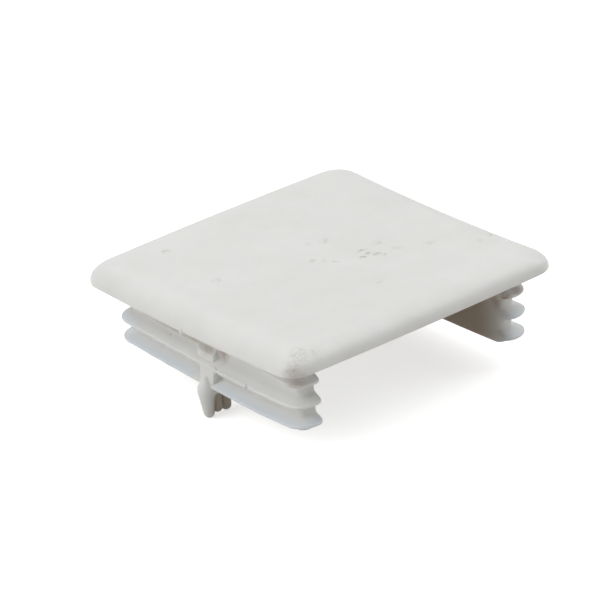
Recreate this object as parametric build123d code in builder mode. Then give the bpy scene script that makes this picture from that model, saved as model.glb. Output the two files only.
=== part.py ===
from build123d import *
import math
import os

# Finned end cap for a square tube, moulded in one piece. Millimetres, +Z out of the tube.
# The origin is the middle of the head's flat underside, which seats on the end of the tube.
# The two finned legs run along X, one on the -Y side and one on the +Y side.

# Head: the pillow-shaped pad that covers the end of the tube
head_side = 50.0
head_corner_radius = 3.4
head_flank = 0.5  # short straight flank above the seat
head_edge_rise = 2.8  # height of the rounded edge above the flank
head_edge_inset = 4.2  # how far the rounding reaches in over the top
head_edge_steps = 8
seat_edge_radius = 0.25

# Legs: two solid walls that go inside the tube, with an open gap between them
insert_span = 43.8  # over the fin tips, both ways
leg_wall = 2.9
leg_corner_radius = 1.2
leg_end_radius = 1.1  # rounds each end of the fins into the inner face
leg_foot = 0.25  # how far the wall runs on below the last fin

# Fins: soft wedges round the outside and both ends of each leg
fin_count = 3
fin_pitch = 3.15
first_fin_drop = 3.15  # from the seat to the middle of the first fin's tip
fin_reach = 1.9
first_fin_reach = 1.7
fin_tip = 0.6
fin_upper_slope = 0.6  # what the root adds above the tip
fin_lower_slope = 0.8  # what the root adds below the tip
fin_tip_radius = 0.25
fin_root_radius = 0.4
fin_embed = 0.6  # depth of the fin band inside the wall's face

# Tongue: a leaning shank across the middle of one leg, which ends in three fused round ribs
tongue_offset = -0.4  # along the leg, from its middle
shank_root_width = 3.6
shank_foot_width = 2.8
shank_root_inset = 0.6  # from the fin tips back to the shank's front, at the seat
shank_foot_overhang = 0.1  # how far the shank's front stands out past the fin tips, at its foot
shank_straight_drop = 2.4  # from the seat to where the shank starts to lean out
shank_corner_radius = 0.5
tongue_drop = 15.0  # from the seat to the end of the longest rib
rib_top_drop = 8.2  # from the seat to the ribs' pointed tops, inside the leg
knuckle_drop = 11.0  # from the seat to the front rib's widest ring
knuckle_radius = 1.45
front_rib_radius = 0.95
front_rib_overhang = 0.8  # how far the front rib stands out past the fin tips
inner_rib_radius = 0.85
inner_rib_pitch = 1.55
inner_rib_shortfalls = (0.35, 0.15)  # how much shorter each inner rib is than the front one

# Worked out from the sizes above
wall_face = insert_span / 2 - fin_reach
wall_inner = wall_face - leg_wall
fin_drops = [first_fin_drop + fin_pitch * index for index in range(fin_count)]
fin_reaches = [first_fin_reach] + [fin_reach] * (fin_count - 1)
leg_depth = fin_drops[-1] + fin_tip / 2 + fin_lower_slope + leg_foot
shank_back = wall_inner + leg_wall / 2
shank_root_front = insert_span / 2 - shank_root_inset
shank_levels = [
    (0, shank_root_width, shank_root_front),
    (-shank_straight_drop, shank_root_width, shank_root_front),
    (-leg_depth, shank_foot_width, insert_span / 2 + shank_foot_overhang),
]
front_rib_y = front_rib_radius - insert_span / 2 - front_rib_overhang
ribs = [(front_rib_y, front_rib_radius, tongue_drop, knuckle_radius)]
for index, shortfall in enumerate(inner_rib_shortfalls):
    rib_y = front_rib_y + inner_rib_pitch * (index + 1)
    ribs.append((rib_y, inner_rib_radius, tongue_drop - shortfall, inner_rib_radius))

# The head's rounded edge is a quarter ellipse, cut into steps of inset and height
edge_steps = []
for step in range(head_edge_steps + 1):
    edge_angle = math.radians(90 * step / head_edge_steps)
    inset = head_edge_inset * (1 - math.cos(edge_angle))
    edge_steps.append((inset, head_flank + head_edge_rise * math.sin(edge_angle)))

with BuildPart() as head:
    with BuildSketch():
        RectangleRounded(head_side, head_side, head_corner_radius)
    extrude(amount=head_flank)
    fillet(head.edges().group_by(Axis.Z)[0], radius=seat_edge_radius)
    for inset, height in edge_steps:
        with BuildSketch(Plane.XY.offset(height)):
            RectangleRounded(head_side - 2 * inset, head_side - 2 * inset, head_corner_radius)
    loft(ruled=True)

# The fin band is one comb-shaped section: x is outward from the wall, y is down from the seat
comb_plane = Plane(origin=(-wall_face, -wall_inner, 0), x_dir=(-1, 0, 0), z_dir=(0, -1, 0))
comb_points = [(-fin_embed, 0), (0, 0)]
for drop, reach in zip(fin_drops, fin_reaches):
    comb_points += [
        (0, drop - fin_tip / 2 - fin_upper_slope),
        (reach, drop - fin_tip / 2),
        (reach, drop + fin_tip / 2),
        (0, drop + fin_tip / 2 + fin_lower_slope),
    ]
comb_points.append((-fin_embed, leg_depth))
comb_tip_range = (-insert_span, -wall_face - first_fin_reach / 2)
comb_root_range = (-wall_face - fin_tip_radius / 2, -wall_face + fin_embed / 2)

with BuildPart() as legs:
    with BuildSketch():
        with Locations((0, -(wall_face + wall_inner) / 2)):
            wall_plan = Rectangle(2 * wall_face, leg_wall)
        fillet(wall_plan.vertices().group_by(Axis.Y)[0], radius=leg_corner_radius)
    extrude(amount=-leg_depth)
    with BuildLine() as leg_outline:
        FilletPolyline(
            (-wall_face, -wall_inner),
            (-wall_face, -wall_face),
            (wall_face, -wall_face),
            (wall_face, -wall_inner),
            radius=leg_corner_radius,
        )
    with BuildSketch(comb_plane) as comb:
        with BuildLine():
            Polyline(*comb_points, close=True)
        make_face()
        tips = comb.vertices().filter_by_position(Axis.X, *comb_tip_range)
        fillet(tips, radius=fin_tip_radius)
        roots = comb.vertices().filter_by_position(Axis.X, *comb_root_range)
        fillet(roots.sort_by(Axis.Z)[1:-1], radius=fin_root_radius)
    sweep(path=leg_outline.line)
    with BuildSketch():
        with Locations((0, -wall_inner)):
            end_plan = Rectangle(insert_span, insert_span, align=(Align.CENTER, Align.MAX))
        fillet(end_plan.vertices().group_by(Axis.Y)[-1], radius=leg_end_radius)
    extrude(amount=-leg_depth, mode=Mode.INTERSECT)
    mirror(about=Plane.XZ)

with BuildPart() as tongue:
    for height, width, front in shank_levels:
        with BuildSketch(Plane.XY.offset(height)):
            with Locations((tongue_offset, -front)):
                shank_plan = Rectangle(width, front - shank_back, align=(Align.CENTER, Align.MIN))
            fillet(shank_plan.vertices().group_by(Axis.Y)[0], radius=shank_corner_radius)
    loft(ruled=True)
    for rib_y, radius, end_drop, widest in ribs:
        rib_plane = Plane(origin=(tongue_offset, rib_y, 0), x_dir=(1, 0, 0), z_dir=(0, -1, 0))
        with BuildSketch(rib_plane):
            with BuildLine():
                Polyline((0, -rib_top_drop), (widest, -knuckle_drop), (radius, radius - end_drop))
                RadiusArc((radius, radius - end_drop), (0, -end_drop), radius)
                Line((0, -end_drop), (0, -rib_top_drop))
            make_face()
        revolve(axis=Axis((tongue_offset, rib_y, 0), (0, 0, 1)))

with BuildPart() as end_cap:
    add(head.part)
    add(legs.part)
    add(tongue.part)

end_cap.part.label = "end_cap"
os.makedirs("parts", exist_ok=True)
export_step(end_cap.part, "parts/end_cap.step")

print("solids", len(end_cap.part.solids()), "volume", round(end_cap.part.volume), end_cap.part.is_valid)
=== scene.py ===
import bmesh
import bpy
import math
from mathutils import Matrix, Vector, noise


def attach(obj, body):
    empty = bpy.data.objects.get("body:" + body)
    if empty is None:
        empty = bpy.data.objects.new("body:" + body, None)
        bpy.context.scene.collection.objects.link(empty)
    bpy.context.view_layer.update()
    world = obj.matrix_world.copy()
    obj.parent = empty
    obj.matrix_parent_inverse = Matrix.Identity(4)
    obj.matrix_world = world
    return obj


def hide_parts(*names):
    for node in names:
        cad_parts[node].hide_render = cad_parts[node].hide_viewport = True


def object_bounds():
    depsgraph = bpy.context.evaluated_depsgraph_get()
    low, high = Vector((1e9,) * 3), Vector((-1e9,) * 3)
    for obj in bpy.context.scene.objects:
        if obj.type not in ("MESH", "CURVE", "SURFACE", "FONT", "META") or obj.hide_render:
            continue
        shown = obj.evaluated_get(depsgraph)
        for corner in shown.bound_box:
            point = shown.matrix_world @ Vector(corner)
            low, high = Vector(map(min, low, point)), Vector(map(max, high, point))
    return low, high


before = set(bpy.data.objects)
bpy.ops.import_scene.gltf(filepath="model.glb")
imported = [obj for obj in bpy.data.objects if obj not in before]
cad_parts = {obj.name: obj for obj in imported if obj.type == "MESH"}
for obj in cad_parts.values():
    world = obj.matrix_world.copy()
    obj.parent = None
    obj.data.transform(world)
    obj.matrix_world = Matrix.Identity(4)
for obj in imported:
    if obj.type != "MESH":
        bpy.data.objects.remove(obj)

# White polyethylene end cap for a square tube, lying as it fits: head up, legs and tongue down.
# Lengths in the dictionaries are millimetres, and the meshes are in metres.
cadLow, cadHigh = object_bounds()
mm = 0.001
headSide = (cadHigh.x - cadLow.x) / mm
headTop = cadHigh.z / mm
print("frame loaded, head side", round(headSide, 2), "mm")


def smoothStep(low, high, value):
    t = min(max((value - low) / (high - low), 0.0), 1.0)  # low may be above high, for a falling step
    return t * t * (3 - 2 * t)


def arcPoints(centre, radius, startDeg, endDeg, steps):
    angles = [math.radians(startDeg + (endDeg - startDeg) * k / steps) for k in range(steps + 1)]
    return [(centre[0] + radius * math.cos(a), centre[1] + radius * math.sin(a)) for a in angles]


def roundedLine(corners, steps):
    # corners are (x, y, radius), and a radius above zero becomes an arc that touches both runs
    line = []
    for index, (x, y, radius) in enumerate(corners):
        if radius == 0 or index in (0, len(corners) - 1):
            line.append((x, y))
            continue
        here = Vector((x, y))
        before = (Vector(corners[index - 1][:2]) - here).normalized()
        after = (Vector(corners[index + 1][:2]) - here).normalized()
        half = before.angle(after) / 2
        trim = radius / math.tan(half)
        centre = here + (before + after).normalized() * (radius / math.sin(half))
        startArm = here + before * trim - centre
        endArm = here + after * trim - centre
        for k in range(steps + 1):
            line.append(tuple(centre + startArm.slerp(endArm, k / steps) * radius))
    return line


def ringMesh(name, rings, loopRings=False, openRing=False):
    # rings are lists of (x, y, z) in mm joined by quads; ends and open sides are closed
    count = len(rings[0])
    verts = [Vector(point) * mm for ring in rings for point in ring]
    faces = []
    for r in range(len(rings) if loopRings else len(rings) - 1):
        nextR = (r + 1) % len(rings)
        for i in range(count - 1 if openRing else count):
            j = (i + 1) % count
            faces.append((r * count + i, r * count + j, nextR * count + j, nextR * count + i))
    if openRing:
        faces.append([r * count for r in range(len(rings))])
        faces.append([r * count + count - 1 for r in range(len(rings))])
    elif not loopRings:
        for ring, start in ((rings[0], 0), (rings[-1], (len(rings) - 1) * count)):
            verts.append(sum((Vector(point) for point in ring), Vector()) / count * mm)
            faces += [(start + i, start + (i + 1) % count, len(verts) - 1) for i in range(count)]
    mesh = bpy.data.meshes.new(name)
    mesh.from_pydata(verts, [], [tuple(face) for face in faces])
    tidy = bmesh.new()
    tidy.from_mesh(mesh)
    bmesh.ops.remove_doubles(tidy, verts=tidy.verts, dist=1e-7)
    bmesh.ops.triangulate(tidy, faces=[face for face in tidy.faces if len(face.verts) > 4])
    bmesh.ops.recalc_face_normals(tidy, faces=tidy.faces)
    tidy.to_mesh(mesh)
    tidy.free()
    piece = bpy.data.objects.new(name, mesh)
    bpy.context.scene.collection.objects.link(piece)
    return piece


head = {
    "cornerRadius": 3.4,
    "seatEdgeRadius": 0.3,
    "flank": 0.5,
    "edgeInset": 4.2,
    "cornerSteps": 12,
    "sideSteps": 60,
    "edgeSteps": 16,
    "seatEdgeSteps": 6,
    "innerRings": 16,
}


def headRing(inset, z, scale=1.0):
    radius = head["cornerRadius"]
    half = headSide / 2 - inset - radius
    ring = []
    for signX, signY, start in ((1, 1, 0), (-1, 1, 90), (-1, -1, 180), (1, -1, 270)):
        arc = arcPoints((signX * half, signY * half), radius, start, start + 90, head["cornerSteps"])
        run = Vector((-math.sin(math.radians(start + 90)), math.cos(math.radians(start + 90))))
        stepLength = 2 * half / head["sideSteps"]
        ring += arc + [tuple(Vector(arc[-1]) + run * stepLength * k) for k in range(1, head["sideSteps"])]
    return [(x * scale, y * scale, z) for x, y in ring]


def makeHead():
    edge = head["seatEdgeRadius"]
    rise = headTop - head["flank"]
    rings = [headRing(edge, 0, k / head["innerRings"]) for k in range(1, head["innerRings"] + 1)]
    for k in range(1, head["seatEdgeSteps"] + 1):
        a = math.radians(90 * k / head["seatEdgeSteps"])
        rings.append(headRing(edge * (1 - math.sin(a)), edge * (1 - math.cos(a))))
    for k in range(head["edgeSteps"] + 1):
        a = math.radians(90 * k / head["edgeSteps"])
        rings.append(headRing(head["edgeInset"] * (1 - math.cos(a)), head["flank"] + rise * math.sin(a)))
    for k in range(head["innerRings"] - 1, 0, -1):
        rings.append(headRing(head["edgeInset"], headTop, k / head["innerRings"]))
    return ringMesh("headShell", rings)


leg = {
    "span": 43.8,  # over the fin tips
    "wall": 2.9,
    "cornerRadius": 1.2,
    "finReach": 1.9,
    "firstFinReach": 1.7,
    "finDrops": (3.12, 6.3, 9.5),
    "finTip": 0.42,
    "upperSlope": 0.72,
    "lowerSlope": 0.5,
    "lastLowerSlope": 0.95,
    "depth": 10.8,
    "tipRadius": 0.2,
    "rootRadius": 0.4,  # above each fin
    "lowerRootRadius": 0.2,
    "rootedInHead": 0.3,
    "stationStep": 0.4,
    "innerSteps": 70,
    "cornerSteps": 12,
    "profileSteps": 6,
    "nearFinEnd": 1.3,  # rounding of the fins into the inner face
    "farFinEnd": 1.6,
    "nearWallEnd": 0.6,
    "farWallEnd": 1.1,
    "rimWander": 0.07,  # unevenness of the thin rims
    "wanderEvery": 2.2,
}
wallFace = leg["span"] / 2 - leg["finReach"]
wallInner = wallFace - leg["wall"]
finDrops = leg["finDrops"]
legDepth = leg["depth"]


def combProfile():
    # (share of the full reach, drop), from the head down to the foot
    corners = [(0, -leg["rootedInHead"], 0)]
    for k, drop in enumerate(finDrops):
        reach = leg["finReach"] if k else leg["firstFinReach"]
        below = leg["lastLowerSlope"] if drop == finDrops[-1] else leg["lowerSlope"]
        top = drop - leg["finTip"] / 2
        bottom = drop + leg["finTip"] / 2
        corners.append((0, top - leg["upperSlope"], leg["rootRadius"]))
        corners.append((reach, top, leg["tipRadius"]))
        corners.append((reach, bottom, leg["tipRadius"]))
        corners.append((0, bottom + below, leg["lowerRootRadius"]))
    corners.append((0, legDepth, 0))
    return [(reach / leg["finReach"], drop) for reach, drop in roundedLine(corners, leg["profileSteps"])]


def quarterStations(finEnd, wallEnd):
    # one half of the wall's outline as (wall point, rim point) pairs, from the middle to the inner face
    full = leg["span"] / 2
    radius = leg["cornerRadius"]
    straight = wallFace - radius
    pairs = []
    count = round(straight / leg["stationStep"])
    for k in range(count):
        x = straight * k / count
        pairs.append(((x, -wallFace), (x, -full)))
    for x, y in arcPoints((0, 0), 1, 270, 360, leg["cornerSteps"]):
        wallPoint = (straight + radius * x, -straight + radius * y)
        rimRadius = radius + leg["finReach"]
        pairs.append((wallPoint, (straight + rimRadius * x, -straight + rimRadius * y)))
    wallArc = arcPoints((wallFace - wallEnd, -wallInner - wallEnd), wallEnd, 0, 90, leg["cornerSteps"])
    rimArc = arcPoints((full - finEnd, -wallInner - finEnd), finEnd, 0, 90, leg["cornerSteps"])
    return pairs + list(zip(wallArc, rimArc))


def makeLeg(name, side, finEnd, wallEnd):
    profile = combProfile()
    half = quarterStations(finEnd, wallEnd)
    mirrored = [((-w[0], w[1]), (-r[0], r[1])) for w, r in reversed(half[1:])]
    rings = []
    for (wallX, wallY), (rimX, rimY) in mirrored + half:
        ring = []
        for share, drop in profile:
            wander = noise.noise(Vector((rimX, rimY * side, drop)) / leg["wanderEvery"]) * leg["rimWander"]
            reach = share * (1 + wander / leg["finReach"])
            ring.append((wallX + (rimX - wallX) * reach, side * (wallY + (rimY - wallY) * reach), -drop))
        rings.append(ring)
    first, last = rings[0], rings[-1]
    for k in range(1, leg["innerSteps"]):
        t = k / leg["innerSteps"]
        ring = [(a[0] + (b[0] - a[0]) * t, a[1] + (b[1] - a[1]) * t, a[2]) for a, b in zip(last, first)]
        rings.append(ring)
    return ringMesh(name, rings, loopRings=True, openRing=True)


tongue = {
    "offset": -0.4,
    "rootWidth": 4.4,
    "footWidth": 2.8,
    "rootInset": 1.25,
    "footOverhang": 0.1,
    "straightDrop": 2.4,
    "topShift": -1.25,  # the shank leans sideways towards the head
    "shiftFrom": 2.0,
    "shiftTo": 8.0,
    "shankSteps": 24,
    "pastFoot": 0.02,  # the shank ends this much below the leg
    "shankCorner": 0.3,
    "frontY": -21.75,
    "frontRadius": 0.85,
    "frontEnd": 14.85,
    "frontCone": ((0.2, 8.3), (1.0, 9.15), (1.36, 10.0), (1.43, 10.6)),  # (radius, drop) of the knuckle
    "innerRadius": 0.85,
    "innerTop": 8.2,
    "innerTopRadius": 0.02,
    "innerTaper": 2,
    "innerPitch": 1.55,
    "innerEnds": (14.5, 14.7),
    "turnSteps": 32,
    "coneSteps": 6,
    "footSteps": 10,
}


def makeShank():
    back = wallInner + leg["wall"] / 2
    corner = tongue["shankCorner"]
    rings = []
    run = legDepth + tongue["pastFoot"] + leg["rootedInHead"]
    for k in range(tongue["shankSteps"] + 1):
        drop = run * k / tongue["shankSteps"] - leg["rootedInHead"]
        t = max(0.0, (drop - tongue["straightDrop"]) / (legDepth - tongue["straightDrop"]))
        half = (tongue["rootWidth"] + (tongue["footWidth"] - tongue["rootWidth"]) * t) / 2
        front = leg["span"] / 2 - tongue["rootInset"] + (tongue["rootInset"] + tongue["footOverhang"]) * t
        outline = [(-half, -back, 0), (-half, -front, corner), (half, -front, corner), (half, -back, 0)]
        lean = 1 - smoothStep(tongue["shiftFrom"], tongue["shiftTo"], drop)
        shift = tongue["offset"] + tongue["topShift"] * lean
        rings.append([(x + shift, y, -drop) for x, y in roundedLine(outline, leg["profileSteps"])])
    return ringMesh("shank", rings)


def makeRib(name, y, radius, end, cone):
    foot = arcPoints((0, radius - end), radius, 0, -90, tongue["footSteps"])
    steps = tongue["coneSteps"]
    corners = [(r, -drop) for r, drop in cone] + [foot[0]]
    outline = []
    for (r0, z0), (r1, z1) in zip(corners, corners[1:]):
        outline += [(r0 + (r1 - r0) * k / steps, z0 + (z1 - z0) * k / steps) for k in range(steps)]
    rings = []
    for r, z in outline + foot[:-1]:
        ring = []
        for px, py in arcPoints((0, 0), r, 0, 360 - 360 / tongue["turnSteps"], tongue["turnSteps"] - 1):
            ring.append((tongue["offset"] + px, y + py, z))
        rings.append(ring)
    return ringMesh(name, rings)


def makeTongue():
    parts = [makeShank(), makeRib("frontRib", tongue["frontY"], tongue["frontRadius"], tongue["frontEnd"],
                                  tongue["frontCone"])]
    innerCone = (
        (tongue["innerTopRadius"], tongue["innerTop"]),
        (tongue["innerRadius"], tongue["innerTop"] + tongue["innerTaper"]),
    )
    for k, end in enumerate(tongue["innerEnds"], 1):
        parts.append(makeRib("innerRib%d" % k, tongue["frontY"] + tongue["innerPitch"] * k,
                             tongue["innerRadius"], end, innerCone))
    return parts


flash = {
    "from": 0.6,
    "to": 9.6,
    "step": 0.18,
    "height": 0.5,
    "thickness": 0.12,
    "leastHeight": 0.1,
    "tearMean": 0.5,
    "tearSwing": 0.9,
    "tearPerMm": (1.9, 4.3),  # of the coarse and the fine tearing
    "leanSwing": 0.1,
    "leanPerMm": 1.3,
    "beadRadius": 0.33,
    "headBump": (-0.7, -24.85, 0.15),
    "headBumpSize": (0.38, 0.4, 0.8),
}


def makeBead(name, centre, size):
    rings = []
    for k in range(1, 12):
        a = math.pi * k / 12
        rings.append([(centre[0] + size[0] * px, centre[1] + size[1] * py, centre[2] + size[2] * math.cos(a))
                      for px, py in arcPoints((0, 0), math.sin(a), 0, 345, 23)])
    return ringMesh(name, rings)


def makeFlash():
    # torn skin that the mould's parting line left on the rim of the second fin
    rimY = -leg["span"] / 2
    rings = []
    count = round((flash["to"] - flash["from"]) / flash["step"])
    for k in range(count + 1):
        x = flash["from"] + flash["step"] * k
        fade = min(1.0, 5 * k / count, 5 * (count - k) / count)
        coarse = noise.noise(Vector((x * flash["tearPerMm"][0], 3.0, 0)))
        fine = noise.noise(Vector((x * flash["tearPerMm"][1], 9.0, 0)))
        tear = flash["tearMean"] + flash["tearSwing"] * coarse + flash["tearSwing"] * fine
        height = flash["leastHeight"] + flash["height"] * fade * min(max(tear, 0.05), 1.2)
        lean = flash["leanSwing"] * noise.noise(Vector((x * flash["leanPerMm"], 0, 7.0)))
        rings.append([(x, rimY + lean + flash["thickness"] * py, height * pz - finDrops[1] + 0.05)
                      for py, pz in arcPoints((0, 0), 1, 0, 330, 11)])
    bead = makeBead("flashBead", (flash["to"], rimY - 0.02, -finDrops[1] + 0.1), (flash["beadRadius"],) * 3)
    bump = makeBead("headBump", flash["headBump"], flash["headBumpSize"])
    return [ringMesh("rimFlash", rings), bead, bump]


def fuse(base, others):
    for other in others:
        union = base.modifiers.new("union", "BOOLEAN")
        union.operation = "UNION"
        union.solver = "EXACT"
        union.object = other
    shown = base.evaluated_get(bpy.context.evaluated_depsgraph_get())
    mesh = bpy.data.meshes.new_from_object(shown)
    base.modifiers.clear()
    base.data = mesh
    for other in others:
        bpy.data.objects.remove(other)


warp = {
    "sagAlongX": -0.55,  # the head's middle, lower than its ends
    "sagAlongY": 0.03,
    "sagTwistY": -0.08,
    "sagTwistX": -0.26,
    "slantFrom": 2.0,  # the near leg rises and leans in towards its left end
    "slantMost": 21.0,
    "slantLeast": -11.0,
    "slantRise": 0.018,  # per mm along the leg
    "slantLean": 0.014,
    "leftStretch": 0.55,
    "leftStretchFrom": 8,
    "leftStretchTo": 20,
    "holdFrom": 0.1,  # drops between which the legs let go of the head
    "holdTo": 1.4,
    "firstFinFrom": (1.9, 2.4),  # drops at which the first fin fades in and out
    "firstFinTo": (4.2, 4.9),
    "shortFinFrom": 1.0,  # the near leg's first fin fades out to the left of here
    "shortFinTo": 24.0,
    "shortFinReach": 0.1,  # share of its reach that is left
    "farLean": 0.4,  # the far leg's first fin stands out by this much more than its last
    "farStretch": 0.35,  # and its last fin hangs this much lower
    "farStretchFrom": 3.0,
    "farStretchTo": 9.5,
    "farFootLift": 0.4,
    "farFootFrom": 10.0,
}


def warpHeight(x, y):
    u, v = 2 * x / headSide, 2 * y / headSide
    alongX, alongY = 1 - u * u, 1 - v * v
    return (warp["sagAlongX"] * alongX + warp["sagAlongY"] * alongY
            + warp["sagTwistY"] * alongX * v + warp["sagTwistX"] * alongY * u)


def shapeNearLeg(x, y, z):
    depth = min(-z, legDepth) / legDepth
    hold = smoothStep(warp["holdFrom"], warp["holdTo"], -z)
    firstFin = smoothStep(*warp["firstFinFrom"], -z) * (1 - smoothStep(*warp["firstFinTo"], -z))
    if firstFin > 0 and y < -wallFace and x < warp["shortFinTo"]:
        left = warp["shortFinReach"] + (1 - warp["shortFinReach"]) * smoothStep(
            warp["shortFinFrom"], warp["shortFinTo"], x)
        y += (-wallFace - y) * (1 - left) * firstFin
    if firstFin > 0 and x < -wallFace:
        x += (-wallFace - x) * (1 - warp["shortFinReach"]) * firstFin
    slant = min(max(warp["slantFrom"] - x, warp["slantLeast"]), warp["slantMost"])
    x -= warp["leftStretch"] * smoothStep(warp["leftStretchFrom"], warp["leftStretchTo"], -x) * hold
    return x, y + warp["slantLean"] * slant * depth, z + warp["slantRise"] * slant * hold


def shapeFarLeg(x, y, z):
    hold = smoothStep(warp["holdFrom"], warp["holdTo"], -z)
    lean = warp["farLean"] * hold * (1 - smoothStep(finDrops[0], finDrops[2], -z))
    outward = smoothStep(wallFace - 2, wallFace, abs(x))
    lift = warp["farFootLift"] * smoothStep(warp["farFootFrom"], legDepth, -z)
    z += lift - warp["farStretch"] * smoothStep(warp["farStretchFrom"], warp["farStretchTo"], -z)
    return x + math.copysign(lean * outward, x), y + lean, z


def shapeCap(mesh):
    for vertex in mesh.vertices:
        x, y, z = vertex.co / mm
        if z < -0.05 and y < 0:
            x, y, z = shapeNearLeg(x, y, z)
        elif z < -0.05 and y > wallInner - 0.5:
            x, y, z = shapeFarLeg(x, y, z)
        vertex.co = Vector((x, y, z + warpHeight(x, y))) * mm


dirtAndShade = {
    "seenBelow": -4.0,  # height of the painted shadow line under the head's edge, at the right end of its run
    "lineBelow": (-0.75, -0.15),  # from that height, where the line fades in and out
    "lineAbove": (0.7, 0.2),
    "lineWander": 0.3,
    "linePerMm": 0.7,
    "inFar": 0.9,  # strengths
    "onRibs": 0.7,
    "line": 0.8,
    "rightEndFade": 0.75,  # the far leg's right end gets this much less of the dirt and painted shade
}


def paintCap(mesh):
    # thin: share of a fin's reach; grime and shade: dirt and painted shade on the far leg's inner side,
    # painted shade on the ribs, and a painted shadow line under the head's edge along the near leg's left
    # half
    thin = mesh.attributes.new("thin", "FLOAT", "POINT")
    grimeAndShade = mesh.attributes.new("grimeAndShade", "FLOAT", "POINT")
    for index, vertex in enumerate(mesh.vertices):
        x, y, z = vertex.co / mm
        below = smoothStep(0.8, 1.6, -z)
        outside = max(abs(x), abs(y)) - wallFace
        onTongue = smoothStep(2.9, 2.3, abs(x + 0.7)) if y < -wallFace else 0.0
        farSide = smoothStep(0, 1, y) * smoothStep(4.4, 5.4, -z)
        # the bluish thin-fin colour is painted light through the fins, strongest on the lower fins, at the
        # left end and on the far side
        coolest = max(smoothStep(7.6, 8.6, -z), smoothStep(14, 19, -x), farSide)
        cool = below * smoothStep(0.0, leg["finReach"], outside) * (0.15 + 0.85 * coolest)
        thin.data[index].value = cool * (1 - onTongue)
        # dirt and painted shade on the far leg's inner side, less towards its ends
        inFar = smoothStep(15.5, 16.5, y) * (1 - smoothStep(17.2, 18.6, y)) * below
        deep = (1 - dirtAndShade["rightEndFade"] * smoothStep(14.5, 21.5, x)) * smoothStep(-22, -15, x)
        # painted shade on the tongue's ribs below the leg's foot
        onRibs = smoothStep(-21.9, -21.2, y) * smoothStep(10.9, 11.4, -z) * (1 - smoothStep(-18.0, -17.0, y))
        # a painted shadow line just under the head's edge, along the near leg's left half, where the head
        # shades the leg
        slant = min(max(warp["slantFrom"] - x, 0), warp["slantMost"])
        rise = z - (dirtAndShade["seenBelow"] - warp["slantRise"] * slant)
        line = smoothStep(*dirtAndShade["lineBelow"], rise) * smoothStep(*dirtAndShade["lineAbove"], rise)
        line *= smoothStep(-21.2, -20.6, y) * smoothStep(-18.9, -19.5, y) * smoothStep(1.0, -2.0, x)
        line *= dirtAndShade["line"] + dirtAndShade["lineWander"] * noise.noise(Vector((x * dirtAndShade["linePerMm"], 0, 0)))
        grimeAndShade.data[index].value = max(inFar * deep * dirtAndShade["inFar"], onRibs * dirtAndShade["onRibs"], line)


cap = makeHead()
nearLeg = makeLeg("nearLeg", 1, leg["nearFinEnd"], leg["nearWallEnd"])
farLeg = makeLeg("farLeg", -1, leg["farFinEnd"], leg["farWallEnd"])
fuse(cap, [nearLeg, farLeg] + makeTongue() + makeFlash())
cap.name = "mouldedCap"
cap.data.name = "mouldedCap"
paintCap(cap.data)
shapeCap(cap.data)
cap.data.shade_smooth()
cap.data.set_sharp_from_angle(angle=math.radians(40))
print("cap fused,", len(cap.data.polygons), "faces")


def linearColour(hexText):
    values = [int(hexText[k:k + 2], 16) / 255 for k in (1, 3, 5)]
    return tuple(v / 12.92 if v <= 0.04045 else ((v + 0.055) / 1.055) ** 2.4 for v in values) + (1.0,)


def addNode(tree, kind, inputs=None, **settings):
    node = tree.nodes.new(kind)
    for key, value in settings.items():
        setattr(node, key, value)
    for key, value in (inputs or {}).items():
        if isinstance(value, bpy.types.NodeSocket):
            tree.links.new(value, node.inputs[key])
        else:
            node.inputs[key].default_value = value
    return node


plastic = {
    "body": "#E2E2E0",
    "bodyDull": "#DDDDDA",
    "thinCool": "#D5DCE3",  # thin fins let daylight through and look bluish
    # dirt colour, also used for painted shade
    "grimeAndShadeBrown": "#98836A",
    "smudge": "#A5A194",
    # brown haze colour, also used for painted shade
    "brownHazeAndShade": "#A9958A",
    # dark speck colour, also used for painted shade
    "speckAndShade": "#755C4C",
    "roughness": 0.48,
    "smootherBy": -0.06,
    "rougherBy": 0.08,
    "ior": 1.51,
    "scatterRadius": (0.0022, 0.0023, 0.0025),  # metres: milky, light goes 2 mm or so into it
    "scatterWeight": 0.55,
    "cloudSize": 50 / 7,  # patterns in mm: the uneven tone, some 7 mm across
    "speckleSize": 2 / 3,
    "swirlSize": 10 / 11,  # the wander of the marks' edges
    "swirlReach": 1.6,
    "grainSize": 2 / 7,  # the mould's fine texture
    "grainDepth": 0.00006,  # metres
    "waveSize": 5,  # slow waves under it
    "waveDepth": 0.0003,
}
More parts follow.
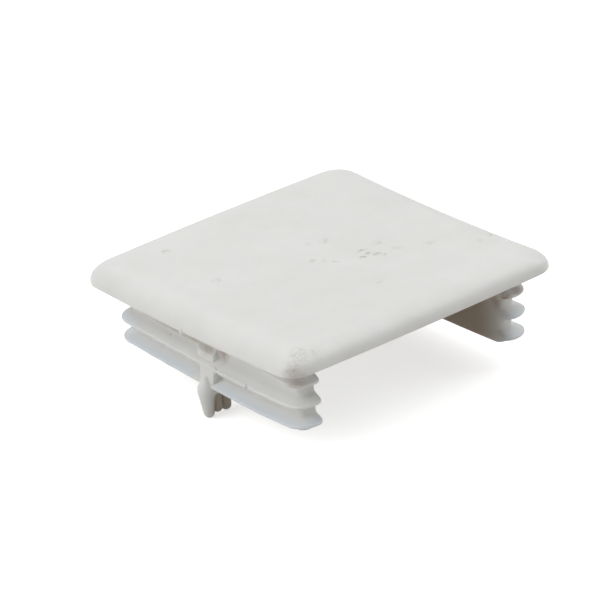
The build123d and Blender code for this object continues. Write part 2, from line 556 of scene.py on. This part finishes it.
# (place in mm, radius in mm, strength) of each mark on the surface
marks = {
    "smudge": (  # scuffs that picked up dirt, broken into specks
        ((3.2, 6.1, 2.6), 0.8, 1.0), ((5.0, 4.6, 2.6), 0.8, 1.0), ((4.8, 6.2, 2.6), 0.8, 0.9),
        ((5.7, 6.7, 2.6), 1.1, 0.9), ((6.6, 7.4, 2.6), 0.8, 0.8), ((2.7, 9.3, 2.6), 0.9, 0.6),
        ((3.1, 1.1, 2.6), 0.8, 0.8), ((1.9, 0.0, 2.6), 0.8, 0.4), ((0.5, -1.2, 2.6), 0.8, 0.7),
        ((-4.5, 2.1, 2.6), 0.8, 0.5), ((-3.5, 4.3, 2.6), 1.2, 0.4), ((13.6, 0.8, 2.5), 0.9, 0.5),
        ((6.2, 10.0, 2.6), 1.2, 0.35), ((8.6, 14.5, 2.6), 1.4, 0.3), ((-18.1, -14.1, 2.8), 1.2, 0.8),
        ((-4.9, -14.7, 2.7), 1.3, 0.45), ((13.8, 19.5, 2.5), 0.9, 0.5), ((13.4, 22.1, 2.3), 1.2, 0.8),
        ((22.6, -21.4, 1.9), 2.2, 0.7), ((23.7, -23.6, 1.3), 1.5, 0.5), ((23.2, -19.6, 1.8), 1.6, 0.4),
        ((21.8, -9.6, 2.0), 0.8, 0.6),
    ),
    "brownHazeAndShade": (  # brownish haze: dirt in places, painted shade under the head's front corner, dirt and painted shade at the far leg's right end, and a painted shadow right of the tongue's shank
        # first: painted shade of the head's front corner on the first fin, with dirt; second: painted shade
        # on the head's underside at that corner; third: a painted shadow right of the tongue's shank
        ((21.0, -21.9, -2.8), 3.6, 0.75), ((23.6, -23.0, -0.3), 3.0, 0.55), ((2.3, -20.2, -4.5), 2.0, 0.8),
        ((-0.9, -20.8, -4.2), 2.3, 0.4), ((20.9, 17.8, -3.4), 1.3, 0.8),
        ((20.6, -20.6, -4.8), 1.3, 0.4), ((20.6, -20.6, -8.0), 1.3, 0.4), ((19.0, 17.4, -4.6), 1.6, 0.7),
        ((21.3, 19.8, -2.9), 2.2, 0.6),
    ),
    "speckAndShade": (
        # the third, at the right tip of the near leg's first fin, is painted shade under the head's front
        # corner; the rest are dark specks of dirt
        ((-10.1, -20.3, -5.8), 0.45, 0.7), ((21.1, 18.0, -3.6), 0.8, 1.0), ((20.6, -22.3, -3.5), 0.9, 0.5),
        ((3.2, 6.1, 2.6), 0.45, 0.3), ((5.0, 4.6, 2.6), 0.45, 0.3),
    ),
}


def makePlastic():
    # injection-moulded low-density polyethylene: matte, milky and a little uneven in tone
    material = bpy.data.materials.new("mouldedPolyethylene")
    material.use_nodes = True
    tree = material.node_tree
    tree.nodes.clear()
    place = addNode(tree, "ShaderNodeTexCoord").outputs["Object"]
    inMm = addNode(tree, "ShaderNodeVectorMath", {0: place, "Scale": 1 / mm}, operation="SCALE").outputs[0]

    uneven = {"Vector": inMm, "Scale": 1 / plastic["cloudSize"], "Detail": 6.0, "Roughness": 0.6}
    cloud = addNode(tree, "ShaderNodeTexNoise", uneven)
    cloudy = addNode(tree, "ShaderNodeMapRange", {"Value": cloud.outputs["Fac"], 1: 0.35, 2: 0.7})
    thin = addNode(tree, "ShaderNodeAttribute", attribute_name="thin").outputs["Fac"]
    layers = [(cloudy.outputs[0], "bodyDull"), (thin, "thinCool")]  # (share, colour), from the body up

    broken = {"Vector": inMm, "Scale": 1 / plastic["speckleSize"], "Detail": 8.0, "Roughness": 0.72}
    speckle = addNode(tree, "ShaderNodeTexNoise", broken).outputs["Fac"]
    speckle = addNode(tree, "ShaderNodeMapRange", {"Value": speckle, 1: 0.42, 2: 0.56}).outputs[0]
    wandering = {"Vector": inMm, "Scale": 1 / plastic["swirlSize"], "Detail": 3.0}
    swirl = addNode(tree, "ShaderNodeTexNoise", wandering).outputs["Color"]
    centred = {0: swirl, 1: (0.5, 0.5, 0.5)}
    swirl = addNode(tree, "ShaderNodeVectorMath", centred, operation="SUBTRACT").outputs[0]
    moved = {0: swirl, 1: (plastic["swirlReach"],) * 3, 2: inMm}
    ragged = addNode(tree, "ShaderNodeVectorMath", moved, operation="MULTIPLY_ADD").outputs[0]
    for shade, places in marks.items():
        stain = 0.0
        for centre, radius, strength in places:
            ends = {0: ragged, 1: centre}
            away = addNode(tree, "ShaderNodeVectorMath", ends, operation="DISTANCE").outputs["Value"]
            falloff = {"Value": away, 1: radius, 2: 0.0, 3: 0.0, 4: strength}
            near = addNode(tree, "ShaderNodeMapRange", falloff, interpolation_type="SMOOTHSTEP").outputs[0]
            stain = addNode(tree, "ShaderNodeMath", {0: near, 1: stain}, operation="MAXIMUM").outputs[0]
        if shade == "smudge":
            stain = addNode(tree, "ShaderNodeMath", {0: stain, 1: speckle}, operation="MULTIPLY").outputs[0]
        layers.append((stain, shade))
    grimeAndShade = addNode(tree, "ShaderNodeAttribute", attribute_name="grimeAndShade").outputs["Fac"]
    layers.append((grimeAndShade, "grimeAndShadeBrown"))
    colour = linearColour(plastic["body"])
    for share, shade in layers:
        mixed = {"Factor": share, "A": colour, "B": linearColour(plastic[shade])}
        colour = addNode(tree, "ShaderNodeMix", mixed, data_type="RGBA").outputs["Result"]

    # the mould's fine texture lies over slow waves
    grainy = {"Vector": inMm, "Scale": 1 / plastic["grainSize"], "Detail": 4.0}
    wavy = {"Vector": inMm, "Scale": 1 / plastic["waveSize"], "Detail": 2.0}
    fine = addNode(tree, "ShaderNodeTexNoise", grainy).outputs["Fac"]
    slow = addNode(tree, "ShaderNodeTexNoise", wavy).outputs["Fac"]
    slowBump = {"Height": slow, "Strength": 0.5, "Distance": plastic["waveDepth"]}
    waves = addNode(tree, "ShaderNodeBump", slowBump).outputs["Normal"]
    fineBump = {"Height": fine, "Strength": 0.25, "Distance": plastic["grainDepth"], "Normal": waves}
    bump = addNode(tree, "ShaderNodeBump", fineBump)
    low, high = (plastic["roughness"] + plastic[key] for key in ("smootherBy", "rougherBy"))
    gloss = addNode(tree, "ShaderNodeMapRange", {"Value": cloud.outputs["Fac"], 3: low, 4: high}).outputs[0]
    shader = addNode(tree, "ShaderNodeBsdfPrincipled", {
        "Base Color": colour,
        "Roughness": gloss,
        "IOR": plastic["ior"],
        "Subsurface Weight": plastic["scatterWeight"],
        "Subsurface Radius": plastic["scatterRadius"],
        "Subsurface Scale": 1.0,
        "Normal": bump.outputs["Normal"],
    })
    addNode(tree, "ShaderNodeOutputMaterial", {"Surface": shader.outputs["BSDF"]})
    return material


cap.data.materials.clear()
cap.data.materials.append(makePlastic())
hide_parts("end_cap")
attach(cap, "root")
print("material done")


studio = {
    "floorSize": 8.0,  # metres
    "paper": "#F0F0F0",
    "paperGlow": 0.6,
    "paperBounce": "#CFCDC9",  # what the object gets back from the paper
    "world": 0.345,
    "lampSize": 0.8,
    "lamps": {  # place in metres and watts
        "leftKey": ((-0.3, -0.9, 0.7), 6.4),
        "backFill": ((0.3, 0.8, 0.8), 6.0),
        "overhead": ((-0.45, 0.1, 1.0), 2.7),
    },
}


def makeFloor():
    bpy.ops.mesh.primitive_plane_add(size=studio["floorSize"], location=(0, 0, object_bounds()[0].z))
    floor = bpy.context.object
    floor.name = "studioFloor"
    material = bpy.data.materials.new("paperSweep")
    material.use_nodes = True
    tree = material.node_tree
    tree.nodes.clear()
    light = addNode(tree, "ShaderNodeLightPath")
    seen = light.outputs["Is Camera Ray"]
    for ray in ("Is Glossy Ray", "Is Transmission Ray"):
        rays = {0: seen, 1: light.outputs[ray]}
        seen = addNode(tree, "ShaderNodeMath", rays, operation="MAXIMUM").outputs[0]
    paper = addNode(tree, "ShaderNodeBsdfDiffuse", {"Color": linearColour(studio["paper"])})
    glow = addNode(tree, "ShaderNodeEmission", {"Color": (1, 1, 1, 1), "Strength": studio["paperGlow"]})
    bright = addNode(tree, "ShaderNodeAddShader", {0: paper.outputs[0], 1: glow.outputs[0]})
    dull = addNode(tree, "ShaderNodeBsdfDiffuse", {"Color": linearColour(studio["paperBounce"])})
    mix = addNode(tree, "ShaderNodeMixShader", {0: seen, 1: dull.outputs[0], 2: bright.outputs[0]})
    addNode(tree, "ShaderNodeOutputMaterial", {"Surface": mix.outputs[0]})
    floor.data.materials.append(material)


def makeLight():
    for name, (place, watts) in studio["lamps"].items():
        lamp = bpy.data.lights.new(name, "AREA")
        lamp.size = studio["lampSize"]
        lamp.energy = watts
        holder = bpy.data.objects.new(name, lamp)
        holder.location = place
        holder.rotation_euler = Vector(place).to_track_quat("Z", "Y").to_euler()
        bpy.context.scene.collection.objects.link(holder)
    world = bpy.data.worlds.new("studio")
    world.use_nodes = True
    world.node_tree.nodes["Background"].inputs["Color"].default_value = (1, 1, 1, 1)
    world.node_tree.nodes["Background"].inputs["Strength"].default_value = studio["world"]
    bpy.context.scene.world = world


viewpoint = {
    "azimuth": -36.38,  # degrees from +X towards +Y
    "elevation": 25.46,
    "roll": -5.37,
    "distance": 693.3,
    "aim": (-0.59, -3.31, -3.13),
    "lens": 283.5,
    "sensor": 36.0,
}


def makeCamera():
    azimuth, elevation, roll = (math.radians(viewpoint[key]) for key in ("azimuth", "elevation", "roll"))
    flat = math.cos(elevation)
    back = Vector((math.cos(azimuth) * flat, math.sin(azimuth) * flat, math.sin(elevation)))
    level = Vector((-math.sin(azimuth), math.cos(azimuth), 0))
    right = level * math.cos(roll) + back.cross(level) * math.sin(roll)
    turn = Matrix((right, back.cross(right), back)).transposed().to_4x4()
    camera = bpy.data.objects.new("camera", bpy.data.cameras.new("camera"))
    camera.data.lens = viewpoint["lens"]
    camera.data.sensor_width = viewpoint["sensor"]
    eye = (Vector(viewpoint["aim"]) + back * viewpoint["distance"]) * mm
    camera.matrix_world = Matrix.Translation(eye) @ turn
    bpy.context.scene.collection.objects.link(camera)
    bpy.context.scene.camera = camera


makeFloor()
makeLight()
makeCamera()
bpy.context.scene.view_settings.view_transform = "Standard"
print("stage, light and camera done")
